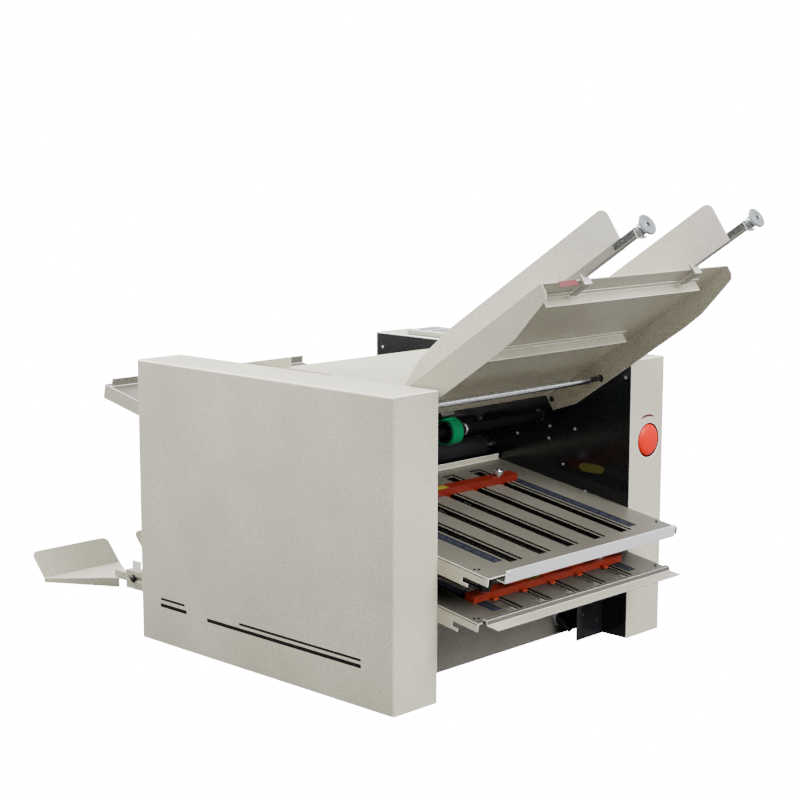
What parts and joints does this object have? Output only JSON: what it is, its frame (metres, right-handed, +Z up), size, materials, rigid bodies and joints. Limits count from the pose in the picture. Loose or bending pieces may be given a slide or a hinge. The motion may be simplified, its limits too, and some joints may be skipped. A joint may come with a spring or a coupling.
{
  "type": "paper folding machine",
  "caption": "Desk paper folder with tilted feed table, slotted fold plates front and rear, rubber fold rollers between side frames, and delivery wings.",
  "frame": {"origin": "middle of the underside of the base pan, on the desk", "axes": "+Z up, +X towards the right cover with the emergency stop, -Y towards the feed table, +Y towards the delivery wings"},
  "size_m": [0.55, 1.11, 0.6202],
  "materials": {
    "paint": "fine-textured warm light grey paint with dark specks",
    "dark_steel": "glossy black",
    "base_grey": "satin dark grey",
    "bright_steel": "bright ground steel",
    "zinc": "zinc plated",
    "aluminium": "satin anodised",
    "black_rubber": "ground rubber",
    "green_rubber": "green feed rubber",
    "black_plastic": "fine-grained",
    "orange_red": "satin orange-red",
    "stop_red": "gloss red"
  },
  "bodies": {
    "machine": {"base_pan": "base_grey", "left_cover": "paint", "right_cover": "paint", "left_side_frame": "dark_steel", "right_side_frame": "dark_steel", "top_cover": "paint", "feed_table": "paint", "table_stiffener_upper": "paint", "table_stiffener_lower": "paint", "front_tie_rod": "bright_steel", "separator_pad": "black_rubber", "upper_front_plate": "paint", "upper_front_plate_floor": "dark_steel", "upper_front_bar": "aluminium", "lower_front_plate": "paint", "lower_front_plate_floor": "dark_steel", "upper_rear_plate": "paint", "upper_rear_plate_floor": "dark_steel", "lower_rear_plate": "paint", "lower_rear_plate_floor": "dark_steel", "corner_bracket": "black_plastic", "cable_gland": "black_plastic", "emergency_stop_collar": "black_plastic", "control_panel": "black_plastic", "drive_motor": "dark_steel", "drive_belt": "black_rubber", "left_delivery_arm": "paint", "right_delivery_arm": "paint"},
    "fold_roller_1": {"fold_roller_1": "black_rubber"},
    "fold_roller_2": {"fold_roller_2": "black_rubber", "roller_gear_2": "bright_steel"},
    "fold_roller_3": {"fold_roller_3": "black_rubber", "roller_gear_3": "bright_steel"},
    "fold_roller_4": {"fold_roller_4": "black_rubber", "roller_gear_4": "bright_steel"},
    "fold_roller_5": {"fold_roller_5": "black_rubber", "roller_gear_5": "bright_steel"},
    "fold_roller_6": {"fold_roller_6": "black_rubber", "roller_gear_6": "bright_steel"},
    "feed_roller": {"feed_shaft": "bright_steel", "feed_roller": "green_rubber"},
    "motor_pulley": {"motor_pulley": "bright_steel"},
    "left_guide": {"left_paper_guide": "paint"},
    "right_guide": {"right_paper_guide": "paint"},
    "left_guide_screw": {"left_guide_thumbscrew": "zinc"},
    "right_guide_screw": {"right_guide_thumbscrew": "zinc"},
    "upper_front_stop": {"upper_front_stop": "orange_red"},
    "lower_front_stop": {"lower_front_stop": "orange_red"},
    "upper_rear_stop": {"upper_rear_stop": "orange_red"},
    "lower_rear_stop": {"lower_rear_stop": "orange_red"},
    "upper_front_stop_screw": {"upper_front_stop_screw": "zinc"},
    "lower_front_stop_screw": {"lower_front_stop_screw": "black_plastic"},
    "upper_rear_stop_screw": {"upper_rear_stop_screw": "zinc"},
    "emergency_button": {"emergency_stop_button": "stop_red"},
    "left_wing": {"left_delivery_wing": "paint"},
    "right_wing": {"right_delivery_wing": "paint"},
    "left_wing_screw": {"left_delivery_wing_screw": "zinc"},
    "right_wing_screw": {"right_delivery_wing_screw": "zinc"}
  },
  "joints": [
    {"name": "fold_roller_6_spin", "type": "hinge", "parent": "machine", "child": "fold_roller_6", "pos_m": [0, 0.012, 0.125], "axis": [1, 0, 0], "continuous": true},
    {"name": "fold_roller_5_spin", "type": "hinge", "parent": "machine", "child": "fold_roller_5", "pos_m": [0, 0.028, 0.1555], "axis": [1, 0, 0], "continuous": true},
    {"name": "fold_roller_4_spin", "type": "hinge", "parent": "machine", "child": "fold_roller_4", "pos_m": [0, 0.012, 0.186], "axis": [1, 0, 0], "continuous": true},
    {"name": "fold_roller_3_spin", "type": "hinge", "parent": "machine", "child": "fold_roller_3", "pos_m": [0, 0.028, 0.2165], "axis": [1, 0, 0], "continuous": true},
    {"name": "fold_roller_2_spin", "type": "hinge", "parent": "machine", "child": "fold_roller_2", "pos_m": [0, 0.012, 0.247], "axis": [1, 0, 0], "continuous": true},
    {"name": "fold_roller_1_spin", "type": "hinge", "parent": "machine", "child": "fold_roller_1", "pos_m": [0, 0.028, 0.2775], "axis": [1, 0, 0], "continuous": true},
    {"name": "feed_roller_spin", "type": "hinge", "parent": "machine", "child": "feed_roller", "pos_m": [0, -0.085, 0.3022], "axis": [1, 0, 0], "continuous": true},
    {"name": "motor_pulley_spin", "type": "hinge", "parent": "machine", "child": "motor_pulley", "pos_m": [-0.2218, -0.08, 0.046], "axis": [1, 0, 0], "continuous": true},
    {"name": "left_guide_slide", "type": "slide", "parent": "machine", "child": "left_guide", "axis": [1, 0, 0], "range_m": [-0.06, 0.05]},
    {"name": "right_guide_slide", "type": "slide", "parent": "machine", "child": "right_guide", "axis": [1, 0, 0], "range_m": [-0.05, 0.06]},
    {"name": "left_guide_screw_turn", "type": "hinge", "parent": "left_guide", "child": "left_guide_screw", "pos_m": [-0.113, -0.48284, 0.59704], "axis": [0, -0.8305, 0.557], "continuous": true},
    {"name": "right_guide_screw_turn", "type": "hinge", "parent": "right_guide", "child": "right_guide_screw", "pos_m": [0.113, -0.48284, 0.59704], "axis": [0, -0.8305, 0.557], "continuous": true},
    {"name": "upper_front_stop_slide", "type": "slide", "parent": "machine", "child": "upper_front_stop", "axis": [0, -0.9868, -0.1618], "range_m": [-0.038, 0.206]},
    {"name": "lower_front_stop_slide", "type": "slide", "parent": "machine", "child": "lower_front_stop", "axis": [0, -0.9868, -0.1618], "range_m": [-0.23, 0.017]},
    {"name": "upper_rear_stop_slide", "type": "slide", "parent": "machine", "child": "upper_rear_stop", "axis": [0, 0.9792, 0.2027], "range_m": [-0.175, 0.15]},
    {"name": "lower_rear_stop_slide", "type": "slide", "parent": "machine", "child": "lower_rear_stop", "axis": [0, 0.9792, 0.2027], "range_m": [-0.125, 0.1]},
    {"name": "upper_front_stop_screw_turn", "type": "hinge", "parent": "upper_front_stop", "child": "upper_front_stop_screw", "pos_m": [0.1035, -0.08597, 0.21658], "axis": [0, -0.1618, 0.9868], "continuous": true},
    {"name": "lower_front_stop_screw_turn", "type": "hinge", "parent": "lower_front_stop", "child": "lower_front_stop_screw", "pos_m": [-0.126, -0.2636, 0.12535], "axis": [0, -0.1618, 0.9868], "continuous": true},
    {"name": "upper_rear_stop_screw_turn", "type": "hinge", "parent": "upper_rear_stop", "child": "upper_rear_stop_screw", "pos_m": [0.1035, 0.24485, 0.29784], "axis": [0, -0.2027, 0.9792], "continuous": true},
    {"name": "emergency_button_press", "type": "slide", "parent": "machine", "child": "emergency_button", "axis": [0, 1, 0], "range_m": [0, 0.004]},
    {"name": "left_wing_slide", "type": "slide", "parent": "machine", "child": "left_wing", "axis": [0, 1, 0], "range_m": [-0.022, 0.012]},
    {"name": "right_wing_slide", "type": "slide", "parent": "machine", "child": "right_wing", "axis": [0, 1, 0], "range_m": [-0.022, 0.012]},
    {"name": "left_wing_screw_turn", "type": "hinge", "parent": "left_wing", "child": "left_wing_screw", "pos_m": [-0.133, 0.446, 0.0242], "axis": [-1, 0, 0], "continuous": true},
    {"name": "right_wing_screw_turn", "type": "hinge", "parent": "right_wing", "child": "right_wing_screw", "pos_m": [0.068, 0.446, 0.0242], "axis": [-1, 0, 0], "continuous": true}
  ],
  "couplings": [
    {"joint": "fold_roller_5_spin", "follows": "fold_roller_6_spin", "ratio": -1},
    {"joint": "fold_roller_4_spin", "follows": "fold_roller_6_spin", "ratio": 1},
    {"joint": "fold_roller_3_spin", "follows": "fold_roller_6_spin", "ratio": -1},
    {"joint": "fold_roller_2_spin", "follows": "fold_roller_6_spin", "ratio": 1},
    {"joint": "fold_roller_1_spin", "follows": "fold_roller_6_spin", "ratio": -1},
    {"joint": "feed_roller_spin", "follows": "fold_roller_6_spin", "ratio": 1},
    {"joint": "motor_pulley_spin", "follows": "fold_roller_6_spin", "ratio": 1.7333}
  ]
}
